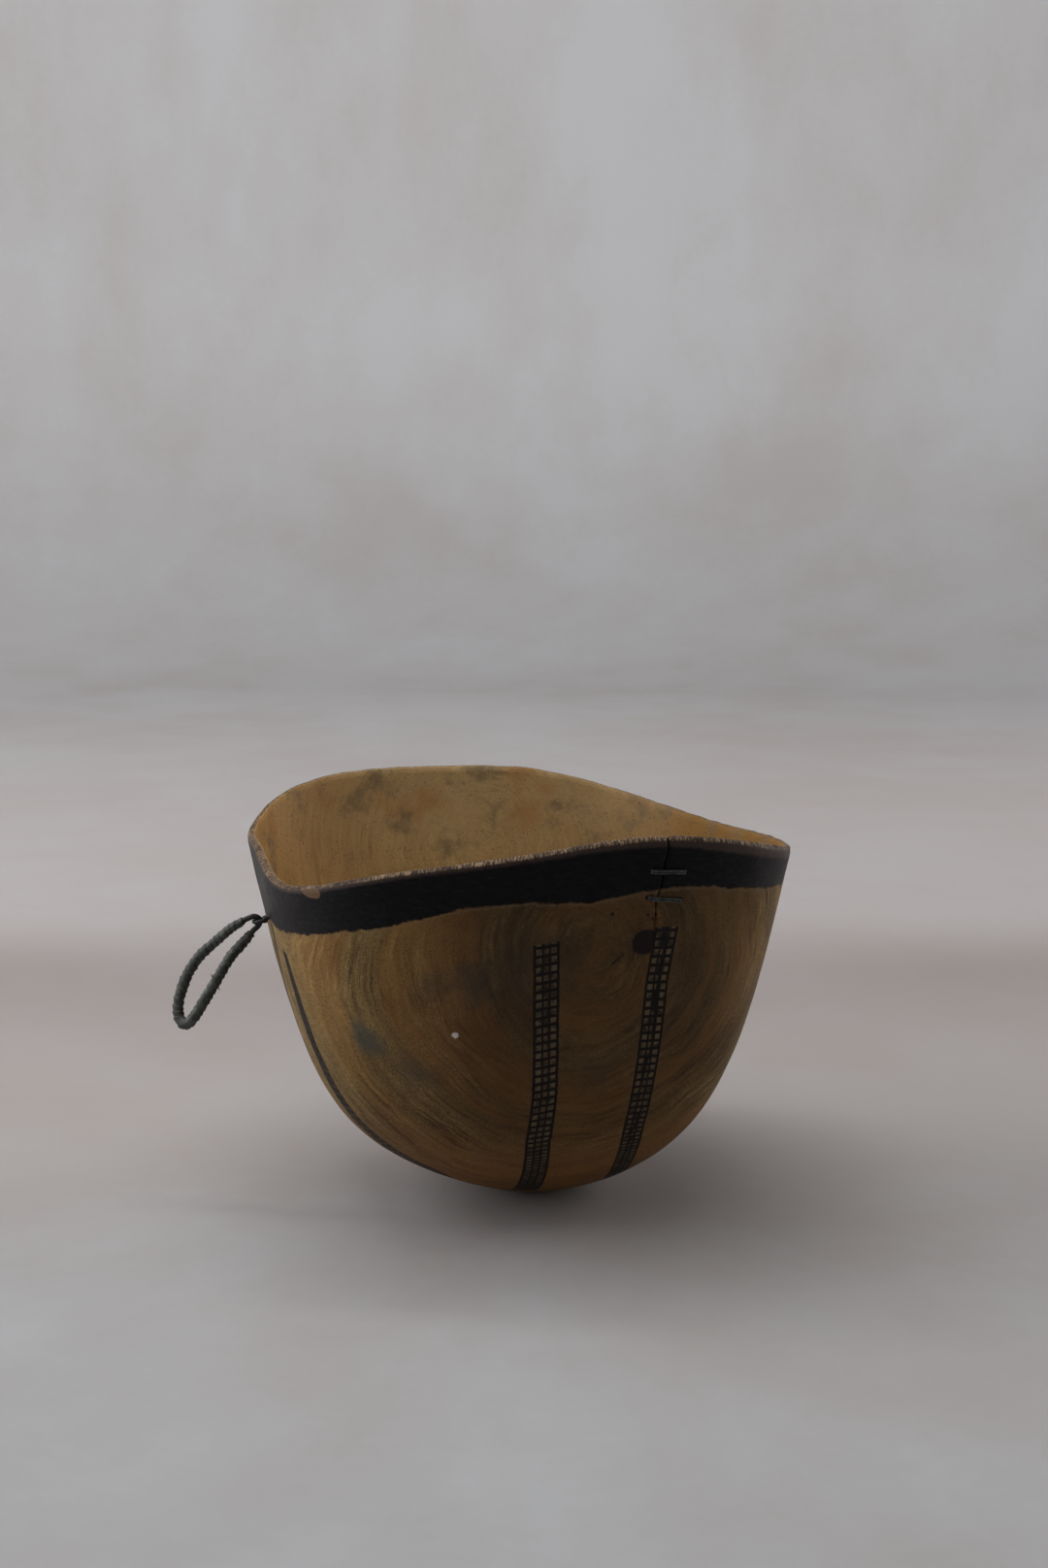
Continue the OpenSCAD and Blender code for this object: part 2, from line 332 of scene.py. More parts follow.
marks = {
    # how far down the blackened band reaches, by bearing
    "bandEdge": [(0, 15), (30, 13.5), (60, 15.5), (90, 17), (120, 16), (150, 19), (165, 28.5), (175, 28),
                 (194, 20.5), (210, 15.5), (226, 15.5), (233, 16.5), (242, 15.4), (250, 13.5), (261, 15),
                 (267, 17), (273, 18.8), (281, 17.6), (290, 16), (304, 15), (315, 13.2), (323, 12), (360, 15)],
    # how far down its bare worn upper edge reaches
    "wornEdge": [(0, 1.6), (90, 1.2), (180, 1.2), (225, 1.0), (250, 1.1), (270, 1.5), (286, 2.2),
                 (300, 3.4), (315, 3.2), (330, 2.4), (360, 1.6)],
    # the middle and half width of each burnt strip, by height, on the walls at each end of the axes
    "strips": {
        "-Y": [([(12, -9.3), (38, -12.6), (58, -12.8), (84, -14.3), (111, -15.5)], 4.2),
               ([(11, 22.9), (19, 22.0), (40, 20.9), (66, 21.7), (96, 22.3), (114, 24.3)], 3.9)],
        "-X": [([(12, -33), (34, -38.5), (60, -38.5), (84, -36), (99, -31)], 3.5),
               ([(12, -4), (99, -2)], 4.1)],
        "+Y": [([(12, -12), (111, -18)], 4.2), ([(12, 17), (111, 20)], 4.0)],
        "+X": [([(12, -16), (105, -21)], 4.1), ([(12, 14), (105, 18)], 4.1)],
    },
    "stripTop": 30,
    "stripStops": 34,       # the strips stop this far out from the middle of the foot
    "rungGap": 3.1,         # between the strips' cross lines at the top
    "lowGap": 1.45,         # and low down
    "splitDepth": 40,
}


def bandEdge(a):
    return along(marks["bandEdge"], a % 360)


def wornEdge(a):
    return along(marks["wornEdge"], a % 360)


def splitBearing(drop):
    # the split wanders as it runs down from the rim
    return (bowl["splitBearing"] + 0.28 * math.sin(drop / 5.3 + 0.6) + 0.14 * math.sin(drop / 1.9)
            - 0.9 * ease(8, 40, drop))


def wallSide(a):
    a = a % 360
    return "-Y" if 225 <= a < 315 else "-X" if 135 <= a < 225 else "+Y" if 45 <= a < 135 else "+X"


def stripDistances(a, point):
    # how far the point is outside each strip's middle, less its half width: negative within it
    side = wallSide(a)
    across = point.x if side.endswith("Y") else point.y
    return [abs(across - along(table, point.z)) / half for table, half in marks["strips"][side]]


def rungCount(drop):
    # cross lines passed on the way down; they crowd together low down
    wide, close = marks["rungGap"], marks["lowGap"]
    past = max(drop - 95, 0)
    slow = max(drop - 130, 0)
    middle = min(past, 35)
    gap = mix(wide, close, middle / 35)
    count = min(drop, 95) / wide
    if past:
        count += middle / ((wide + gap) / 2)
    return count + slow / close, gap


def makeBowl(material):
    columns = bowl["columns"]
    outerRows, rimRows, innerRows = bowl["outerRows"], bowl["rimRows"], bowl["innerRows"]
    footRows = 4
    rows = footRows + outerRows + rimRows + innerRows + footRows
    bm = bmesh.new()
    bmesh.ops.create_grid(bm, x_segments=columns, y_segments=rows, size=1)
    layers = {name: bm.verts.layers.float.new(name)
              for name in ("drop", "side", "bandEdge", "wornEdge", "stripA", "stripB",
                           "rungs", "rungGap", "split")}
    stacks = {}
    for vert in bm.verts:
        column = round((vert.co.x + 1) / 2 * columns)
        row = round((vert.co.y + 1) / 2 * rows)
        stacks.setdefault(column, {})[row] = vert
    for column, stack in stacks.items():
        # the columns crowd together along the split, which needs a fine mesh
        plain = 360 * (column % columns) / columns
        away = (plain - bowl["splitBearing"]) / 4.5
        base = plain - 0.94 * (plain - bowl["splitBearing"]) * math.exp(-away * away)
        follow = math.exp(-((base - bowl["splitBearing"]) / 8) ** 2)
        levels = [(i / outerRows) ** 0.9 for i in range(outerRows + 1)]
        # lengths along the wall from the rim
        controls = wallControls(base)
        lengths = [0.0] * (outerRows + 1)
        for i in range(outerRows - 1, -1, -1):
            step = curvePoint(controls, levels[i + 1]) - curvePoint(controls, levels[i])
            lengths[i] = lengths[i + 1] + step.length
        for row, vert in stack.items():
            i = row - footRows
            if i < 0:
                side, t, drop = -1, 0.0, lengths[0]
                shrink = row / footRows
            elif i <= outerRows:
                side, t, shrink = -1, levels[i], 1
                drop = lengths[i]
            elif i < outerRows + rimRows:
                side, t, shrink, drop = mix(-1, 1, (i - outerRows) / rimRows), 1.0, 1, 0.0
            else:
                k = i - outerRows - rimRows
                side = 1
                if k <= innerRows:
                    t = (1 - k / innerRows) ** 0.9
                    shrink = 1
                else:
                    t, shrink = 0.0, 1 - (k - innerRows) / footRows
                drop = mix(lengths[0], 0, t ** 0.9)
            a = base + (splitBearing(drop) - bowl["splitBearing"]) * follow
            here = wallControls(a)
            flat = curvePoint(here, t)
            run = curveRun(here, t)
            inward = Vector((-run[1], run[0]))
            thick = wallThickness(t)
            if side == -1:
                worn = wornEdge(a) * 0.55
                bevel = max(0, 1 - drop / (worn + 1.2)) ** 1.5 * worn * 0.34
                flat = flat + inward * bevel
            elif side == 1:
                flat = flat + inward * thick
            if -1 < side < 1:
                # over the crest: a low arch from the bevel to the inner edge
                worn = wornEdge(a) * 0.55 * 0.34
                share = (side + 1) / 2
                flat = flat + inward * mix(worn, thick, share)
                flat = flat + run * bowl["crest"] * math.sin(math.pi * share) ** 0.7
            flat = Vector((flat[0] * shrink, flat[1]))
            point = wallPlace(a, flat, t)
            out = Vector((run[1] * cosd(a), run[1] * sind(a), -run[0]))
            if side > 0:
                out = -out
            lift = lump(point, 26, 1) * 0.28 + lump(point, 11, 2) * 0.12
            if shrink < 1:
                lift = 0 if side < 0 else lift * shrink
            elif side < 0:
                lift *= ease(0, 14, point.z)
            point = point + out * lift
            if -1 < side < 1:
                point.z += lump(point, 9, 3) * 0.35 + lump(point, 2.3, 4) * 0.12
            # the split: a narrow groove that is open at the rim
            gapHere = (a - splitBearing(drop)) * math.radians(1) * 101
            openness = 1 - ease(18, marks["splitDepth"], drop)
            if openness > 0 and abs(gapHere) < 2:
                groove = max(0, 1 - abs(gapHere) / mix(0.22, 0.42, openness)) ** 0.6
                point = point - out * groove * 1.3 * openness
                if abs(side) < 1:
                    nick = max(0, 1 - abs(gapHere) / 0.9)
                    point.z -= 1.3 * nick
            vert.co = point * mm
            vert[layers["drop"]] = drop
            vert[layers["side"]] = side
            vert[layers["bandEdge"]] = bandEdge(a)
            vert[layers["wornEdge"]] = wornEdge(a)
            strips = stripDistances(a, point)
            vert[layers["stripA"]] = strips[0]
            vert[layers["stripB"]] = strips[1]
            count, gap = rungCount(drop)
            vert[layers["rungs"]] = count
            vert[layers["rungGap"]] = gap
            vert[layers["split"]] = min(abs(gapHere), 9)
    bmesh.ops.remove_doubles(bm, verts=bm.verts, dist=1e-6)
    bmesh.ops.recalc_face_normals(bm, faces=bm.faces)
    return finishPiece("carvedBowl", bm, "vessel", material, "bowl")


# carved wood

wood = {
    "pith": (0, 107),            # the rings' centre, as x and z
    "outer": [(0.0, (0.036, 0.018, 0.0075)), (0.36, (0.086, 0.049, 0.020)), (0.62, (0.155, 0.094, 0.037)),
              (1.0, (0.29, 0.19, 0.083))],
    "inner": [(0.0, (0.17, 0.095, 0.036)), (0.36, (0.33, 0.205, 0.078)), (0.62, (0.47, 0.31, 0.12)),
              (1.0, (0.58, 0.42, 0.19))],
    "orange": (0.24, 0.105, 0.028), "innerOrange": (0.34, 0.165, 0.05), "innerRightShade": (0.15, 0.070, 0.014),
    "innerBackLight": (0.50, 0.36, 0.185), "innerGrime": (0.125, 0.098, 0.062),
    "burnt": (0.010, 0.0075, 0.006), "cell": (0.165, 0.115, 0.066),
    "char": (0.0030, 0.0029, 0.0040), "charWorn": (0.0120, 0.0115, 0.0118),
    "bareEdge": (0.33, 0.22, 0.13), "dullEdge": (0.13, 0.08, 0.05), "chip": (0.115, 0.060, 0.024),
    "wornEdge": (0.062, 0.041, 0.034), "edgeDirt": (0.022, 0.015, 0.012),
    "stain": (0.045, 0.047, 0.040), "knot": (0.011, 0.006, 0.0085), "patinaAndShade": (0.036, 0.020, 0.010),
    "flankLight": (1.5, 1.62, 1.55),
    "knotSpot": ((17.4, -91.8, 109.2), 5.0), "cornerChip": ((-86, -66, 276), 5.2),
    "holeShadeColour": (0.004, 0.0035, 0.003), "splitShadeColour": (0.006, 0.005, 0.005), "inPores": (0.03, 0.018, 0.010),
    "speck": (0.008, 0.006, 0.005), "paleFleck": (0.62, 0.55, 0.50),
    # small dark specks, a scratch and a pale fleck, each with its radius
    "specks": [((5.5, -93.6, 119.9), 0.85), ((17.5, -92.7, 118.8), 0.6), ((19.3, -92.2, 117.3), 0.7),
               ((20.3, -91.8, 118.7), 0.6), ((6.9, -90.1, 103.2), 0.6), ((7.7, -90.2, 103.8), 0.5),
               ((8.4, -90.3, 104.3), 0.5), ((9.3, -90.4, 104.9), 0.45), ((10.1, -90.4, 105.5), 0.45)],
    "fleck": ((-43.1, -83.3, 80.6), 1.15),
    # grey-green stains on the wall, how wide and how strong they are
    "stains": [((-69.5, -69, 77), 6.5, 0.75), ((-38, -90, 98), 9, 0.6), ((-54, -75, 65), 8, 0.4),
               ((-50, -86, 96), 7, 0.35), ((4, -84, 62), 9, 0.3), ((-18, -92, 106), 16, 0.4)],
}


def woodMaterial():
    m = Shader("carvedWood")
    spot = m.place()
    parts = m.tree.nodes.new("ShaderNodeSeparateXYZ")
    m.feed(parts.inputs[0], spot)
    x, y, z = (Wire(m, parts.outputs[i]) for i in range(3))
    drop, side = m.attribute("drop"), m.attribute("side")
    within = m.smooth(-0.2, 0.5, side)
    outWall = 1 - m.smooth(-1.0, -0.85, side)

    # growth rings round the pith, which runs along Y; the noise is drawn out along them
    acrossPith, belowPith = x - wood["pith"][0], wood["pith"][1] - z
    reach = (acrossPith ** 2 + belowPith ** 2 + 4) ** 0.5
    drift = m.noise(m.stretched(spot, (1, 0.3, 1)), 50, 2) - 0.5
    wander = m.noise(m.stretched(spot, (1, 0.3, 1)), 9, 2) - 0.5
    ringSpot = m.node("ShaderNodeCombineXYZ", {}, {
        0: reach + drift * 14 + wander * 2.4, 1: acrossPith / reach * 3.2 + y * 0.045,
        2: belowPith / reach * 3.2 + y * 0.03})
    broad = m.noise(ringSpot, 8.5, 2) - 0.5
    medium = m.noise(ringSpot, 1.7, 3, 0.65) - 0.5
    line = m.smooth(0.57, 0.66, m.noise(ringSpot, 1.0, 1))
    hue = m.noise(ringSpot, 15, 2)
    # fibres and pores run along Y, so they show end on at the two ends
    fibre = m.noise(m.stretched(spot, (1, 0.05, 1)), 0.75, 3, 0.65) - 0.5
    pores = m.smooth(0.63, 0.72, m.noise(m.stretched(spot, (1, 0.08, 1)), 0.5, 1))
    patch = m.noise(spot, 42, 3, 0.6) - 0.5
    cloud = m.noise(spot, 11, 4, 0.65) - 0.5

    clear = m.smooth(0.35, 0.65, m.noise(spot, 31, 2)) * 0.7 + 0.3
    grit = m.noise(spot, 0.55, 2, 0.7) - 0.5
    tone = 0.5 + broad * 0.45 + (medium * 1.25 - line * 0.3) * clear + fibre * 0.7 + grit * 0.42 \
        + patch * 0.6 + cloud * 0.35
    lowWall = 1 - m.smooth(16, 52, z)
    outer = m.node("ShaderNodeValToRGB", {"stops": wood["outer"]}, {0: tone})
    outer = m.blend(m.smooth(0.44, 0.64, hue) * 0.4, outer, wood["orange"])
    outer = m.blend(lowWall * 0.55, outer, wood["orange"])
    for centre, width, strength in wood["stains"]:
        away = m.distance(spot, centre)
        blot = (1 - m.smooth(width * 0.15, width * 1.25, away + cloud * width * 2.2)) * strength
        outer = m.blend(blot, outer, wood["stain"])
    # darker across the front middle: patina together with painted shade on the wall turned from the lamps
    frontShadeAndPatina = m.smooth(55, 85, -y) * (1 - m.smooth(38, 66, abs(x - 8) + cloud * 14)) * m.smooth(22, 50, z)
    outer = m.blend(frontShadeAndPatina * 0.5, outer, wood["patinaAndShade"])
    # painted light: the left and right flanks, where the side lamps fall, made lighter and yellower
    flankLight = m.smooth(38, 84, abs(x + 8) + cloud * 10) * m.smooth(20, 55, z)
    outer = m.blend(flankLight, outer, m.blend(1, outer, wood["flankLight"], "MULTIPLY"))
    inner = m.node("ShaderNodeValToRGB", {"stops": wood["inner"]}, {0: tone * 0.62 + 0.15 + patch * 0.35})
    # painted shade: the inside of the right wall made darker and more orange
    inner = m.blend(m.smooth(0, 70, x) * 0.85, inner, wood["innerRightShade"])
    # painted light: the far inner wall just below the rim made paler
    inner = m.blend(m.smooth(50, 92, y) * m.smooth(85, 120, z) * 0.4, inner, wood["innerBackLight"])
    inner = m.blend((1 - m.smooth(-75, -20, x)) * 0.4, inner, wood["innerOrange"])
    inner = m.blend(m.smooth(0.52, 0.68, m.noise(spot, 26, 3)) * 0.6, inner, wood["innerOrange"])
    inner = m.blend(m.smooth(0.50, 0.68, m.noise(spot, 17, 4, 0.65)) * 0.62, inner, wood["innerGrime"])
    colour = m.blend(within, outer, inner)
    colour = m.blend(pores * 0.5, colour, wood["inPores"])

    # burnt strips: dark bands with three columns of small cells left pale
    wobble = (m.noise(spot, 3.2, 2) - 0.5) * 0.3
    jitter = (m.noise(spot, 1.2, 1) - 0.5) * 0.25
    reachOut = (x ** 2 + y ** 2) ** 0.5
    stripStart = marks["stripTop"] - (1 - m.smooth(-80, -70, x)) * 4
    span = m.smooth(-0.3, 0, drop - stripStart) * outWall
    span = span * m.smooth(marks["stripStops"] - 0.5, marks["stripStops"], reachOut)
    closeness = m.attribute("rungGap") / marks["rungGap"]
    rung = abs((m.attribute("rungs") + wobble * 0.4).fraction() - 0.5)
    cellRow = 1 - m.smooth(0.27, 0.36, rung + jitter * 0.25 + (1 - closeness) * 0.10)
    strip, cells = None, None
    for name in ("stripA", "stripB"):
        across = m.attribute(name) + wobble * 0.3 + jitter * 0.12
        inStrip = 1 - m.smooth(0.98, 1.05, across)
        sideCells = 1 - m.smooth(0.17, 0.26, abs(across - 0.58))
        midCells = (1 - m.smooth(0.14, 0.23, across)) * 0.75
        within3 = sideCells.atLeast(midCells)
        strip = inStrip if strip is None else strip.atLeast(inStrip)
        cells = within3 if cells is None else cells.atLeast(within3)
    strength = m.smooth(0.3, 0.62, m.noise(spot, 2.6, 2)) * 0.6 + 0.15
    low = m.smooth(132, 156, drop)
    burn = strip * span
    colour = m.blend(burn, colour, wood["burnt"])
    cellShow = cells * cellRow * strength * burn * (1 - low * 0.7) * (m.smooth(-84, -60, x) * 0.75 + 0.25)
    colour = m.blend(cellShow, colour, wood["cell"])

    # the knot beside the split
    knotPlace, knotRadius = wood["knotSpot"]
    knotAway = m.distance(spot, knotPlace)
    knot = (1 - m.smooth(knotRadius - 0.7, knotRadius, knotAway + cloud * 1.6)) * outWall * (1 - burn)
    colour = m.blend(knot * 0.92, colour, wood["knot"])

    # the blackened band, ragged below and worn through at the top
    ragged = (m.noise(spot, 6, 4, 0.7) - 0.5) * 3.0 + (m.noise(spot, 1.1, 2) - 0.5) * 0.8
    bandEnd = drop + ragged - m.attribute("bandEdge")
    band = 1 - m.smooth(-0.3, 0.3, bandEnd)
    wear = (m.noise(spot, 2.6, 4, 0.75) - 0.5) * 1.5
    bare = 1 - m.smooth(-0.1, 0.25, drop + wear - 0.1 - m.attribute("wornEdge") * 0.10)
    worn = 1 - m.smooth(-0.6, 0.8, drop + wear - m.attribute("wornEdge"))
    chips = m.smooth(0.67, 0.70, m.noise(spot, 4.4, 4, 0.7)) * (1 - m.smooth(2.0, 4.0, drop))
    squashed = m.stretched(spot, (1, 1, 2.2))
    chipPlace, chipRadius = wood["cornerChip"]
    chipAway = m.distance(squashed, chipPlace)
    chips = chips.atLeast(1 - m.smooth(chipRadius - 0.8, chipRadius, chipAway + cloud * 8))
    scuff = m.smooth(0.42, 0.80, m.noise(m.stretched(spot, (1, 1, 2.6)), 3.6, 5, 0.75))
    char = m.blend(scuff, wood["char"], wood["charWorn"])
    char = m.blend(worn * 0.75, char, wood["wornEdge"])
    colour = m.blend(m.smooth(0.2, 0.9, 1 - abs(bandEnd - 0.7)) * outWall * 0.3, colour, wood["cell"])
    colour = m.blend(band * outWall, colour, char)
    crest = m.smooth(-1.0, -0.9, side) * (1 - m.smooth(0.45, 0.9, side))
    roundRim = m.node("ShaderNodeMath", {"operation": "ARCTAN2"}, {0: y, 1: x}) * 95
    tickSpot = m.node("ShaderNodeCombineXYZ", {}, {0: roundRim, 1: drop * 0.35, 2: side * 0.4})
    ticks = m.smooth(0.44, 0.60, m.noise(tickSpot, 0.55, 2, 0.6) + grit * 0.1)
    edge = m.blend(m.smooth(0.4, 0.65, m.noise(spot, 7, 3)), wood["bareEdge"], wood["dullEdge"])
    edge = m.blend(ticks * 0.8 + 0.1, wood["edgeDirt"], edge)
    colour = m.blend((crest + bare * outWall).atMost(1), colour, edge)
    colour = m.blend(chips * outWall, colour, m.blend(cloud + 0.5, wood["chip"], wood["dullEdge"]))

    # drilled holes with dark rims, painted as dark discs of shade, and the split, painted dark as shade in its
    # groove
    for place, size in holePlaces():
        centre = tuple(place.translation)
        axis = tuple(place.col[2].xyz)
        offset = m.node("ShaderNodeVectorMath", {"operation": "SUBTRACT"}, {0: spot, 1: centre})
        swept = m.node("ShaderNodeVectorMath", {"operation": "CROSS_PRODUCT"}, {0: offset, 1: axis})
        away = m.node("ShaderNodeVectorMath", {"operation": "LENGTH"}, {0: swept}, "Value")
        near = m.node("ShaderNodeVectorMath", {"operation": "LENGTH"}, {0: offset}, "Value")
        holeShadeMask = (1 - m.smooth(size, size + 0.35, away)) * (1 - m.smooth(9, 10, near))
        colour = m.blend(holeShadeMask, colour, wood["holeShadeColour"])
    for centre, size in wood["specks"]:
        away = m.distance(spot, centre)
        colour = m.blend((1 - m.smooth(size * 0.6, size, away + grit * 0.8)) * 0.9, colour, wood["speck"])
    fleckPlace, fleckRadius = wood["fleck"]
    fleckAway = m.distance(spot, fleckPlace)
    colour = m.blend(1 - m.smooth(fleckRadius * 0.8, fleckRadius, fleckAway + grit * 2.4), colour,
                     wood["paleFleck"])
    # painted shade: the split's groove coloured near black down from the rim
    splitShadeMask = (1 - m.smooth(0.12, 0.30, m.attribute("split"))) * (1 - m.smooth(20, 40, drop)) \
        * (1 - m.smooth(10, 14, drop) * m.smooth(0.42, 0.56, m.noise(spot, 2.2, 2)))
    colour = m.blend(splitShadeMask, colour, wood["splitShadeColour"])

    rough = 0.58 + cloud * 0.25 - band * outWall * 0.14 + pores * 0.12
    height = fibre * 0.4 + medium * 0.25 - pores * 0.5 - burn * (1 - cellShow) * 1.0 \
        + band * outWall * (0.6 + scuff * 0.35)
    return m.finish(colour, rough, height, 0.00022, Specular_IOR_Level=0.1)


# routes and tubes

class Route:
    # a smooth curve through points; s counts the points
    def __init__(self, points, closed=False):
        self.points = [Vector(p) for p in points]
        self.closed = closed

    def point(self, i):
        count = len(self.points)
        return self.points[i % count if self.closed else min(max(i, 0), count - 1)]

    def at(self, s):
        i = math.floor(s)
        f = s - i
        p0, p1, p2, p3 = (self.point(i + k) for k in (-1, 0, 1, 2))
        return (2 * p1 + f * (p2 - p0) + f * f * (2 * p0 - 5 * p1 + 4 * p2 - p3)
                + f * f * f * (3 * p1 - p0 - 3 * p2 + p3)) / 2

    def run(self, s):
        return (self.at(s + 0.02) - self.at(s - 0.02)).normalized()

    def spaced(self, first, last, rows):
        # places evenly spaced along the length, each as (s, length so far)
        steps = rows * 6
        ss = [mix(first, last, i / steps) for i in range(steps + 1)]
        lengths = [0.0]
        for p, q in zip(ss, ss[1:]):
            lengths.append(lengths[-1] + (self.at(q) - self.at(p)).length)
        found, j = [], 0
        for row in range(rows + 1):
            wanted = lengths[-1] * row / rows
            while j < steps - 1 and lengths[j + 1] < wanted:
                j += 1
            share = (wanted - lengths[j]) / max(lengths[j + 1] - lengths[j], 1e-9)
            found.append((mix(ss[j], ss[j + 1], share), wanted))
        return found


def sweep(bm, route, first, last, rows, sides, side, radius, place=None):
    # a tube along part of a route; radius(u, length, total) gives its size, u being turns round it
    made = bmesh.ops.create_grid(bm, x_segments=sides, y_segments=rows, size=1)["verts"]
    spots = route.spaced(first, last, rows)
    total = spots[-1][1]
    for vert in made:
        u = (vert.co.x + 1) / 2
        row = round((vert.co.y + 1) / 2 * rows)
        s, length = spots[row]
        run = route.run(s)
        e = run.cross(side).normalized()
        f = run.cross(e)
        turn = 2 * math.pi * (round(u * sides) % sides) / sides
        point = route.at(s) + radius(u, length, total) * (math.cos(turn) * e + math.sin(turn) * f)
        vert.co = (place @ point if place else point) * mm
    return made


def closeUp(bm, gap=2e-6):
    bmesh.ops.remove_doubles(bm, verts=bm.verts, dist=gap)
    bmesh.ops.recalc_face_normals(bm, faces=bm.faces)


def roundEnd(length, total, radius):
    # the share of the radius left near either end
    near = min(length, total - length) / radius
    return math.sqrt(max(0, 1 - (1 - min(near, 1)) ** 2))


# wire stitches

stitch = {
    "bearing": 287, "span": 11.6, "wire": 0.35, "gap": 0.385, "lift": 0.55, "hollow": 0.6, "tail": 4,
    "upper": {"drop": 10.5, "turn": -5}, "lower": {"drop": 19.8, "turn": -9},
}


def stitchFrame(which):
    frameHere, t = wallFrame(stitch["bearing"], stitch[which]["drop"])
    return frameHere @ Matrix.Rotation(math.radians(stitch[which]["turn"]), 4, "Z"), wallThickness(t)


def makeStitch(name, which, material, node):
    place, wall = stitchFrame(which)
    h, o, g, c = stitch["span"] / 2, stitch["lift"], stitch["gap"], 0.35
    i = -wall - stitch["lift"] - stitch["hollow"]
    tail = stitch["tail"]
    points = [(-h - tail, -g, i), (-h - c, -g, i), (-h, -g, i + c), (-h, -g, o - c), (-h + c, -g, o),
              (-h * 0.4, -g * 1.15, o + 0.05), (h * 0.35, -g * 0.85, o + 0.02),
              (h - c, -g, o), (h, -g, o - c), (h, -g, i + c), (h - c, -g, i),
              (-h + c, g, i), (-h, g, i + c), (-h, g, o - c), (-h + c, g, o),
              (-h * 0.3, g * 0.8, o + 0.06), (h * 0.45, g * 1.2, o),
              (h - c, g, o), (h, g, o - c), (h, g, i + c), (h + c, g, i), (h + tail, g, i)]
    bm = bmesh.new()

    def wire(u, length, total):
        hammered = 1 + 0.05 * math.sin(length * 2.1 + 4 * u)
        return stitch["wire"] * hammered * roundEnd(length, total, 0.3)

    sweep(bm, Route(points), 0, len(points) - 1, 260, 12, Vector((0, 1, 0)), wire, place)
    closeUp(bm)
    return finishPiece(name, bm, "vessel", material, node)


def wireMaterial():
    m = Shader("wireMetal")
    spot = m.place()
    dull = m.smooth(0.35, 0.65, m.noise(spot, 1.6, 3, 0.6))
    colour = m.blend(dull, (0.075, 0.083, 0.072), (0.027, 0.029, 0.026))
    return m.finish(colour, 0.42 + dull * 0.25, dull, 0.00005, Metallic=0.4)


# tie and hanging loop

tie = {
    "bearing": 176, "drop": 26.5, "stand": 3.1, "ring": 2.0, "thong": 0.8, "knot": 2.6,
}
loop = {
    "thong": 1.0, "bore": 1.05, "neck": 2.0, "pitch": 2.3,
    # outwards, upwards and towards -Y from the eye's bar
    "route": [
        (2.8, 1.1, 0), (5.2, -0.3, -0.4), (8.1, -2.3, -1.4), (10.7, -4.6, -2.4), (13.1, -7, -3.4),
        (15.5, -9.2, -4.2), (18, -11.5, -4.8), (20.3, -14.3, -5.1), (22.3, -17.3, -5.2),
        (24, -20.5, -5.2), (25.3, -23.9, -5), (26.4, -27.3, -4.6), (27, -30.6, -3.6),
        (26.7, -33.6, -2), (25.6, -35.2, 0.2), (23.8, -34.5, 2.4), (21.6, -31.5, 4),
        (19.4, -27.8, 4.8), (16.9, -23.7, 5.1), (14.7, -20.1, 5), (12.5, -16.7, 4.6),
        (10.4, -13.5, 3.8), (8, -10.5, 2.8), (5.4, -8.1, 1.8), (2.7, -5.5, 0.9), (0.6, -3.3, 0.2)],
    "upper": {"ends": (0.35, 5.3), "size": 1.95, "ridge": 0.45},
    "tip": {"ends": (5.1, 19.2), "size": 2.15, "ridge": 0.55, "frays": (5.5, 7.4, 18.8, 19.0)},
    "lower": {"ends": (19.05, 24.8), "size": 2.1, "ridge": 0.55, "frays": (19.4, 23.6, 23.9)},
}

tieFrame, tieLevel = wallFrame(tie["bearing"], tie["drop"])
tieWall = wallThickness(tieLevel)
pivot = tieFrame @ Vector((0, 0, tie["stand"] + tie["ring"]))
wayOut = tieFrame.col[2].xyz
levelOut = Vector((wayOut.x, wayOut.y, 0)).normalized()
swingAxis = Vector((-levelOut.y, levelOut.x, 0))
neckPoints = [Vector((loop["neck"] * cosd(225 - 38.75 * i), loop["neck"] * sind(225 - 38.75 * i), 0))
              for i in range(5)]
loopRoute = Route([pivot + p[0] * levelOut + p[1] * Vector((0, 0, 1)) + p[2] * swingAxis
                   for p in neckPoints + [Vector(q) for q in loop["route"]]], closed=True)


def makeLoopCore(material):
    bm = bmesh.new()

    def twisted(u, length, total):
        return loop["thong"] * (0.93 + 0.07 * abs(math.cos(math.pi * u + length * 1.15)))

    count = len(loopRoute.points)
    sweep(bm, loopRoute, 0, count, 360, 20, swingAxis, twisted)
    closeUp(bm)
    return finishPiece("loopThong", bm, "loop", material, "loop_core")


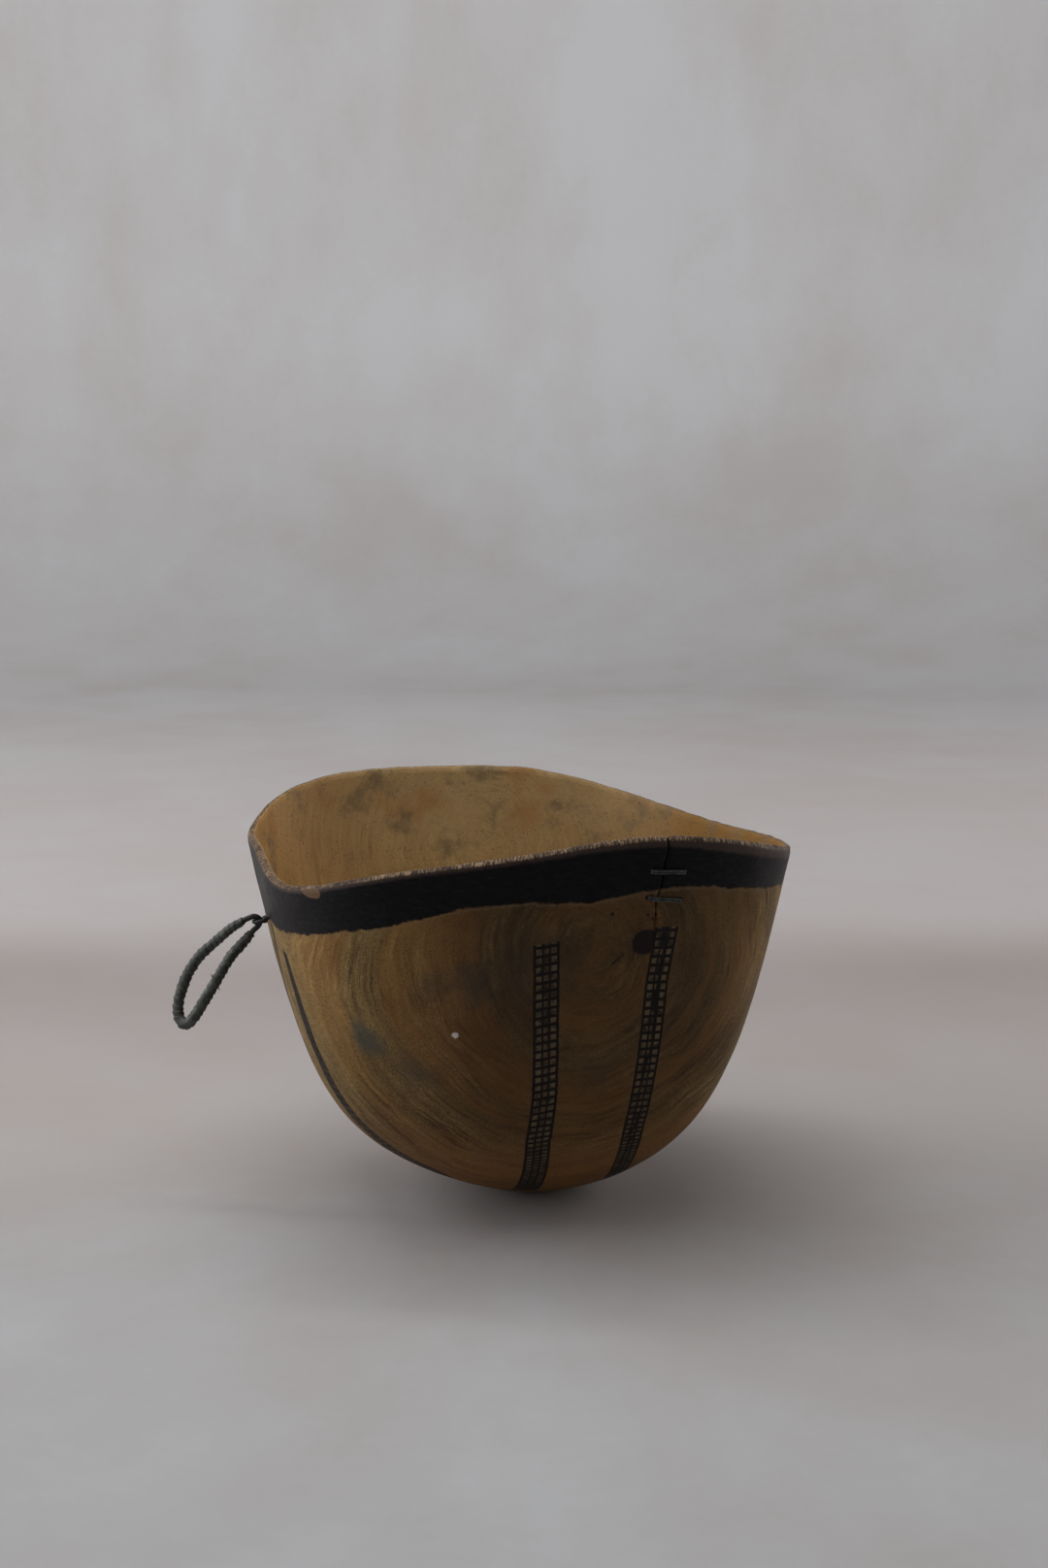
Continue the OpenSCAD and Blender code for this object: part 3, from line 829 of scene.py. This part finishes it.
def makeWrap(name, which, material, node, seed):
    part = loop[which]
    size, ridge = part["size"], part["ridge"]
    first, last = (len(neckPoints) + e for e in part["ends"])
    bm = bmesh.new()

    def wound(u, length, total):
        # each turn of the strip overlaps the last one and ends in a low step
        coil = (length / loop["pitch"] + u + 0.12 * math.sin(length * 0.9 + seed)) % 1
        step = ease(0, 0.18, coil) * (1 - 0.75 * coil)
        soft = 0.10 * noise.noise(Vector((u * 2.2, length * 0.55, seed)))
        worn = 0.12 * noise.noise(Vector((3.3, length * 0.28, seed + 5)))
        radius = size - ridge * (1 - step) + soft + worn
        return max(min(radius, size + 0.1), loop["bore"] + 0.12)

    sides = 36
    rows = int(loopRoute.spaced(first, last, 40)[-1][1] / 0.17)
    spots = loopRoute.spaced(first, last, rows)
    total = spots[-1][1]
    # out along the wound face, back along the bore, and shut where it began
    rings = [(spot, True) for spot in spots] + [(spot, False) for spot in spots[::-4]] + [(spots[0], False)]
    rings.append((spots[0], True))
    made = bmesh.ops.create_grid(bm, x_segments=sides, y_segments=len(rings) - 1, size=1)["verts"]
    for vert in made:
        column = round((vert.co.x + 1) / 2 * sides) % sides
        (s, length), outward = rings[round((vert.co.y + 1) / 2 * (len(rings) - 1))]
        run = loopRoute.run(s)
        e = run.cross(swingAxis).normalized()
        f = run.cross(e)
        turn = 2 * math.pi * column / sides
        radius = loop["bore"]
        if outward:
            radius = wound(column / sides, length, total)
            # it starts and ends abruptly, and is slimmer where it nears the eye
            radius = mix(loop["bore"] + 0.3, radius, ease(-0.2, 0.4, min(length, total - length)))
            radius -= 0.28 * (1 - ease(0.3, 2.4, s - len(neckPoints)))
            radius -= 0.35 * ease(23.2, 24.8, s - len(neckPoints))
        vert.co = (loopRoute.at(s) + radius * (math.cos(turn) * e + math.sin(turn) * f)) * mm
    bmesh.ops.remove_doubles(bm, verts=bm.verts, dist=2e-6)
    # loose fibres where the strip starts and ends
    for k, place in enumerate(part.get("frays", ())):
        s = len(neckPoints) + place
        run = loopRoute.run(s)
        e = run.cross(swingAxis).normalized()
        f = run.cross(e)
        angle = 2.1 * k + seed
        out = (math.cos(angle) * e + math.sin(angle) * f + run * (0.5 - (k % 3) * 0.4)).normalized()
        root = loopRoute.at(s) + (math.cos(angle) * e + math.sin(angle) * f) * (size - 0.35)
        aim = out.to_track_quat("Z", "Y").to_matrix().to_4x4()
        bmesh.ops.create_cone(bm, cap_ends=True, segments=6, radius1=0.32 * mm, radius2=0.05 * mm,
                              depth=1.7 * mm, matrix=Matrix.Translation((root + out * 0.5) * mm) @ aim)
    bmesh.ops.recalc_face_normals(bm, faces=bm.faces)
    return finishPiece(name, bm, "loop", material, node)


def holePlaces():
    # every drilled hole, as its frame on the wall and its radius
    found = [(tieFrame, 1.05)]
    for which in ("upper", "lower"):
        place = stitchFrame(which)[0]
        for sideways in (-1, 1):
            found.append((place @ Matrix.Translation((sideways * stitch["span"] / 2, 0, 0)), 0.8))
    return found


def makeTie(material):
    bm = bmesh.new()
    ring, thong = tie["ring"], tie["thong"]

    def ply(u, length, total):
        return thong * (0.90 + 0.10 * abs(math.cos(math.pi * u + length * 1.3)))

    # the eye outside the wall
    eye = Route([(ring * cosd(a), 0, tie["stand"] + ring * sind(a)) for a in range(0, 360, 20)], closed=True)
    sweep(bm, eye, 0, len(eye.points), 90, 16, Vector((0, 1, 0)), ply, tieFrame)
    closeUp(bm)
    # the stem through the wall, two plies twisted together
    low = -tieWall - tie["knot"] * 0.75
    high = tie["stand"] - ring + 0.3
    for phase in (0, 180):
        plies = Route([(0.42 * cosd(phase + z * 50), 0.42 * sind(phase + z * 50), z)
                       for z in [mix(low, high, i / 12) for i in range(13)]])
        sweep(bm, plies, 0, 12, 60, 12, Vector((0, 1, 0.2)),
              lambda u, length, total: 0.52 * roundEnd(length, total, 0.4), tieFrame)
        closeUp(bm)
    # the whipping that draws the eye shut against the wall
    for k in range(3):
        turnHere = Route([(1.12 * cosd(a), 1.12 * sind(a), 0.45 + k * 0.42 + a / 900)
                          for a in range(0, 360, 24)], closed=True)
        sweep(bm, turnHere, 0, len(turnHere.points), 45, 8, Vector((0, 0, 1)),
              lambda u, length, total: 0.27, tieFrame)
        closeUp(bm)
    # an overhand knot inside, and its cut end
    knotMiddle = -tieWall - tie["knot"]
    overhand = Route([(0.62 * (sind(t) + 2 * sind(2 * t)), 0.62 * (cosd(t) - 2 * cosd(2 * t)),
                       knotMiddle + 0.4 - 0.95 * sind(3 * t)) for t in range(0, 360, 12)], closed=True)
    sweep(bm, overhand, 0, len(overhand.points), 150, 14, Vector((0.13, 0.21, 1)).normalized(),
          lambda u, length, total: 0.78 * (0.94 + 0.06 * math.cos(length * 2 + 6.3 * u)), tieFrame)
    closeUp(bm)
    end = Route([(0.5, -1.0, knotMiddle - 0.6), (0.9, -1.7, knotMiddle - 1.6), (0.8, -2.9, knotMiddle - 2.3),
                 (0.3, -4.0, knotMiddle - 2.5)])
    sweep(bm, end, 0, 3, 24, 12, Vector((1, 0.1, 0)).normalized(),
          lambda u, length, total: 0.7 * roundEnd(length, total, 0.3), tieFrame)
    closeUp(bm)
    return finishPiece("tieThong", bm, "vessel", material, "loop_tie")


def leatherMaterial(name, pale, dark):
    m = Shader(name)
    spot = m.place()
    cloud = m.noise(spot, 2.6, 4, 0.65)
    grain = m.noise(spot, 0.45, 3, 0.6)
    worn = m.smooth(0.38, 0.66, cloud * 0.75 + grain * 0.25)
    colour = m.blend(worn, dark, pale)
    colour = m.blend(m.smooth(0.58, 0.72, m.noise(spot, 1.1, 2)) * 0.5, colour, (0.012, 0.013, 0.012))
    return m.finish(colour, 0.62 - worn * 0.12, grain * 0.6 + cloud * 0.4, 0.00016)


# stage and lights

stage = {
    "level": 1.5, "curve": 0.5, "height": 1.6,
    "colour": (0.56, 0.585, 0.61), "dull": (0.49, 0.475, 0.475), "far": (0.43, 0.375, 0.355),
    "floorTint": (0.74, 0.725, 0.715), "farFloorShade": (0.80, 0.77, 0.76), "backTint": (0.77, 0.765, 0.765),
    "edge": (300, 440),      # where the darker floor, with its painted shade, ends, away from the camera
}


def makeStage():
    # a round floor that turns up into a wall, wider than any camera stands
    m = Shader("stagePaint")
    spot = m.place()
    broad = m.noise(m.stretched(spot, (1, 1, 0.6)), 330, 3, 0.55)
    cloud = m.noise(m.stretched(spot, (1, 1, 0.5)), 75, 4, 0.6)
    speck = m.noise(spot, 9, 3, 0.6)
    tone = m.smooth(0.36, 0.66, broad * 0.6 + cloud * 0.3 + speck * 0.1)
    parts = m.tree.nodes.new("ShaderNodeSeparateXYZ")
    m.feed(parts.inputs[0], spot)
    x, y, height = (Wire(m, parts.outputs[i]) for i in range(3))
    turned = camera["turn"][2]
    away = y * cosd(turned) - x * sind(turned)
    pinker = m.smooth(-230, 120, away) * (1 - m.smooth(600, 1700, away) * 0.6)
    colour = m.blend(tone, stage["colour"], stage["dull"])
    colour = m.blend(pinker * 0.6, colour, stage["far"])
    beyond = m.smooth(*stage["edge"], away)
    # painted shade: the floor darkens away from the camera towards the wall
    near = m.blend(m.smooth(60, 300, away), stage["floorTint"],
                   tuple(f * g for f, g in zip(stage["floorTint"], stage["farFloorShade"])))
    tint = m.blend(beyond, near, stage["backTint"])
    tint = m.blend(m.smooth(0, 500, height), tint, (1, 1, 1))
    paint = m.finish(m.blend(1, colour, tint, "MULTIPLY"), 0.8)
    bm = bmesh.new()
    bmesh.ops.create_grid(bm, x_segments=120, y_segments=60, size=1)
    arc = stage["curve"] * math.pi / 2
    bend = stage["level"] + arc
    rows = [(0, 0), (0.3, stage["level"]), (0.9, bend), (1, bend + stage["height"])]
    for vert in bm.verts:
        bearing = 180 * (vert.co.x + 1)
        length = along(rows, (vert.co.y + 1) / 2)
        past = min(max((length - stage["level"]) / arc, 0), 1) * 90
        radius = min(length, stage["level"]) + stage["curve"] * sind(past)
        level = stage["curve"] * (1 - cosd(past)) + max(length - bend, 0)
        vert.co = Vector((radius * cosd(bearing), radius * sind(bearing), level))
    bmesh.ops.remove_doubles(bm, verts=bm.verts, dist=1e-5)
    for face in bm.faces:
        face.smooth = True
    mesh = bpy.data.meshes.new("stage")
    bm.to_mesh(mesh)
    bm.free()
    mesh.materials.append(paint)
    sheet = bpy.data.objects.new("stage", mesh)
    bpy.context.scene.collection.objects.link(sheet)


def areaLight(name, place, target, size, power, colour=(1, 1, 1)):
    lamp = bpy.data.lights.new(name, "AREA")
    lamp.shape = "RECTANGLE"
    lamp.size, lamp.size_y = size
    lamp.energy = power
    lamp.color = colour
    holder = bpy.data.objects.new(name, lamp)
    holder.location = place
    holder.rotation_euler = (Vector(target) - Vector(place)).to_track_quat("-Z", "Y").to_euler()
    bpy.context.scene.collection.objects.link(holder)


def makeLights():
    areaLight("overhead", (-0.25, 0.0, 1.6), (-0.05, 0.0, 0), (2.2, 1.0), 9.4)
    areaLight("backdropWash", (-0.3, 0.30, 1.6), (0.35, 1.8, 0.5), (2.0, 0.4), 18)
    areaLight("window", (-1.25, 0.30, 0.75), (0, 0.08, 0.1), (1.3, 1.3), 16, (0.98, 0.99, 1.0))
    areaLight("rightFill", (1.4, 0.25, 0.5), (0, 0.05, 0.1), (1.0, 0.9), 7.5, (1, 0.97, 0.94))
    world = bpy.data.worlds.new("room")
    world.use_nodes = True
    world.node_tree.nodes["Background"].inputs["Color"].default_value = (0.97, 0.98, 1, 1)
    world.node_tree.nodes["Background"].inputs["Strength"].default_value = 0.03
    bpy.context.scene.world = world
    bpy.context.scene.view_settings.view_transform = "Standard"


woodFinish = woodMaterial()
print("wood ready")
makeBowl(woodFinish)
wireFinish = wireMaterial()
makeStitch("upperStitch", "upper", wireFinish, "stitch_upper")
makeStitch("lowerStitch", "lower", wireFinish, "stitch_lower")
print("stitches ready")
thongFinish = leatherMaterial("darkThong", (0.035, 0.036, 0.031), (0.010, 0.010, 0.009))
wrapFinish = leatherMaterial("woundStrip", (0.062, 0.068, 0.058), (0.013, 0.015, 0.013))
makeTie(thongFinish)
makeLoopCore(thongFinish)
makeWrap("upperWinding", "upper", wrapFinish, "wrap_upper", 1)
makeWrap("tipWinding", "tip", wrapFinish, "wrap_tip", 2)
makeWrap("lowerWinding", "lower", wrapFinish, "wrap_lower", 3)
print("loop ready")
makeStage()
makeLights()
print("stage ready")
